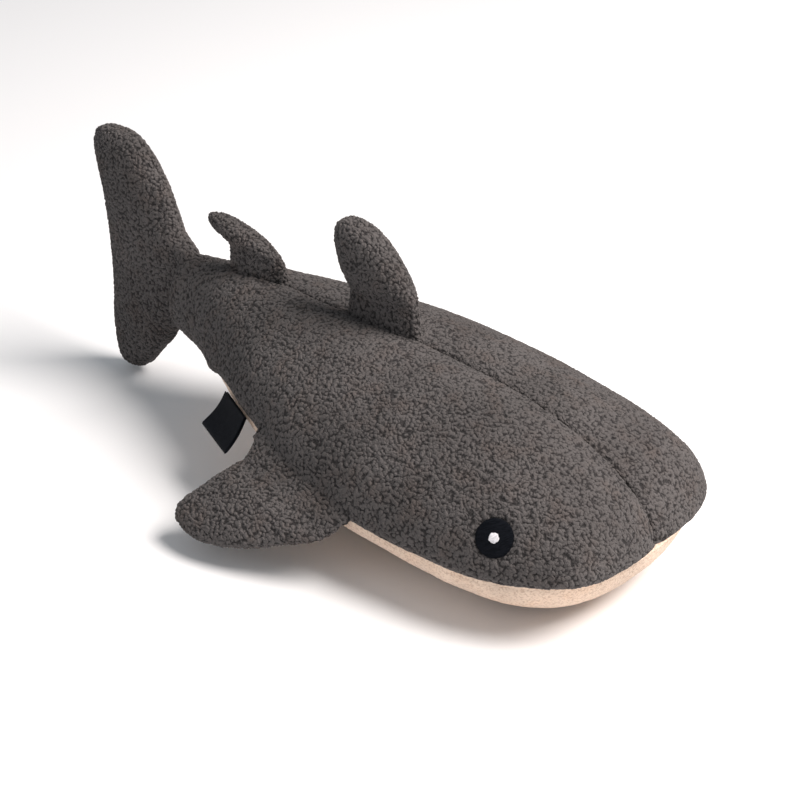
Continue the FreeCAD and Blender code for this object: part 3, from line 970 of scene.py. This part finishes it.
def stitches(ground):
    """Hand stitches over the seam, each bowed by its own pull, where the CAD has its plain ones."""
    points = node_points("closing_stitches")
    low, high = points.min(0), points.max(0)
    mesh = bmesh.new()
    for number in range(STITCH_COUNT):
        x = low[0] + (high[0] - low[0]) * (number + 0.5) / STITCH_COUNT
        own = points[np.abs(points[:, 0] - x) < (high[0] - low[0]) / STITCH_COUNT / 2]
        foot, head = own[:, 2].min(), own[:, 2].max()
        line = []
        for step in range(STITCH_STEPS + 1):
            share = step / STITCH_STEPS
            slant = (share - 0.5) * STITCH_SLANT
            start = Vector((x + slant, high[1] + STITCH_ABOVE, foot + (head - foot) * share))
            found, facing = ground.ray_cast(start, Vector((0, -1, 0)))[:2]
            line.append(found + facing * (STITCH_BOW * math.sin(math.pi * share) - STITCH_BURY))
        tube(mesh, line, STITCH_RADIUS)
    bmesh.ops.recalc_face_normals(mesh, faces=mesh.faces[:])
    obj = from_bmesh("closing_thread", mesh)
    subdivide(obj, 1)
    store(obj, "rest", "FLOAT_VECTOR", coords(obj)[:, [2, 0, 1]])
    finish_piece(obj, SEWING_THREAD, ("closing_stitches",), "torso")


def label():
    """A woven ribbon folded into a loop, with both ends in the seam. It has no text or mark."""
    points = node_points("side_label")
    joint = JOINTS["side_label"]
    hinge = Vector(joint["pos_m"])
    along = Vector(joint["axis"]).normalized()
    if along.x < 0:
        along = -along
    middle = Vector((points.min(0) + points.max(0)) / 2)
    hang = middle - hinge
    hang = (hang - along * hang.dot(along)).normalized()
    across = along.cross(hang)
    away = points - np.array(hinge)
    places = away @ np.array(along)
    rear, front = places.min(), places.max()
    length = (away @ np.array(hang)).max()
    mesh = bmesh.new()
    grid = []
    rest = []
    for row in range(-LABEL_ROWS, LABEL_ROWS + 1):
        share = 1 - abs(row) / LABEL_ROWS
        side = 1 if row > 0 else -1
        line = []
        for column in range(LABEL_COLUMNS + 1):
            part = column / LABEL_COLUMNS
            drop = -LABEL_IN_SEAM + (length + LABEL_IN_SEAM) * share
            gap = LABEL_GAP * math.sqrt(max(0.0, 1 - share ** LABEL_GAP_ROUND)) * (1 if row else 0)
            curl = LABEL_CURL * math.sin(math.pi * share) + LABEL_TWIST * share ** 2 * (part - 0.5)
            splay = LABEL_SPLAY * share ** LABEL_SPLAY_ROUND * (part - LABEL_SPLAY_FROM)
            place = hinge + along * (rear + (front - rear) * part + splay) + hang * drop
            line.append(mesh.verts.new(place + across * (side * gap + curl)))
            rest.append((part * (front - rear), row / LABEL_ROWS * length, 0.0))
        grid.append(line)
    for first, second in zip(grid, grid[1:]):
        for column in range(LABEL_COLUMNS):
            mesh.faces.new((first[column], first[column + 1], second[column + 1], second[column]))
    obj = from_bmesh("side_label_ribbon", mesh)
    store(obj, "rest", "FLOAT_VECTOR", np.array(rest))
    solidify(obj, LABEL_THICKNESS)
    finish_piece(obj, RIBBON, ("side_label",))
    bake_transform(obj)


# ---------------------------------------------------------------- camera, light and floor
def camera():
    data = bpy.data.cameras.new("camera")
    data.lens = CAMERA_LENS
    data.sensor_width = SENSOR
    data.clip_start = CAMERA_NEAR
    obj = new_object("camera", data)
    level = math.cos(CAMERA_ELEVATION)
    towards = Vector((math.sin(CAMERA_AZIMUTH) * level, -math.cos(CAMERA_AZIMUTH) * level,
                      math.sin(CAMERA_ELEVATION)))
    place = CAMERA_TARGET + towards * CAMERA_DISTANCE
    obj.location = place
    obj.rotation_euler = (CAMERA_TARGET - place).to_track_quat("-Z", "Y").to_euler()
    bpy.context.scene.camera = obj


def area_light(name, place, target, size, power, colour):
    data = bpy.data.lights.new(name, "AREA")
    data.shape = "DISK"
    data.size = size
    data.energy = power
    data.color = colour
    obj = new_object(name, data)
    obj.location = place
    obj.rotation_euler = (Vector(target) - Vector(place)).to_track_quat("-Z", "Y").to_euler()


def studio():
    world = bpy.data.worlds.new("studio")
    bpy.context.scene.world = world
    world.use_nodes = True
    background = world.node_tree.nodes["Background"]
    background.inputs["Color"].default_value = (0.90, 0.95, 1.0, 1)
    background.inputs["Strength"].default_value = 0.33
    area_light("key", (0.88, 0.38, 1.35), (0, 0, 0.05), 1.0, 44.0, (1.0, 0.94, 0.90))
    area_light("fill", (-0.50, -1.20, 0.80), (-0.05, 0, 0.08), 0.9, 1.4, (0.96, 0.98, 1.0))
    mesh = bmesh.new()
    bmesh.ops.create_grid(mesh, x_segments=FLOOR_CELLS, y_segments=FLOOR_CELLS, size=FLOOR_SIZE)
    floor = from_bmesh("floor", mesh)
    paper, tree, shader = material("white_paper", 0.9)
    where = tree.nodes.new("ShaderNodeTexCoord").outputs["Object"]
    grain = noise(tree, where, 2 * MM, 4.0)[0]
    feed(tree, shader.inputs["Base Color"], mix(tree, grain, (0.93, 0.93, 0.94, 1), (0.95, 0.95, 0.955, 1)))
    floor.data.materials.append(paper)
    bpy.context.scene.view_settings.view_transform = "Standard"


def squeaker():
    """The CAD squeaker keeps its shape and gets moulded plastic."""
    colours = {"squeaker_bulb": (0.75, 0.75, 0.72, 1), "squeaker_reed": (0.6, 0.08, 0.06, 1)}
    for node, colour in colours.items():
        NODES[node].data.materials.clear()
        NODES[node].data.materials.append(plastic(node + "_plastic", colour, 0.35))


ground_surface = torso()
for fin_body in ("dorsal_fin", "rear_dorsal_fin", "tail_fin", "right_pectoral_fin", "left_pectoral_fin"):
    fin(fin_body)
    stuffing(fin_body)
stuffing("torso")
for eye_side in ("right", "left"):
    eye(eye_side, ground_surface)
stitches(ground_surface)
label()
squeaker()
camera()
studio()
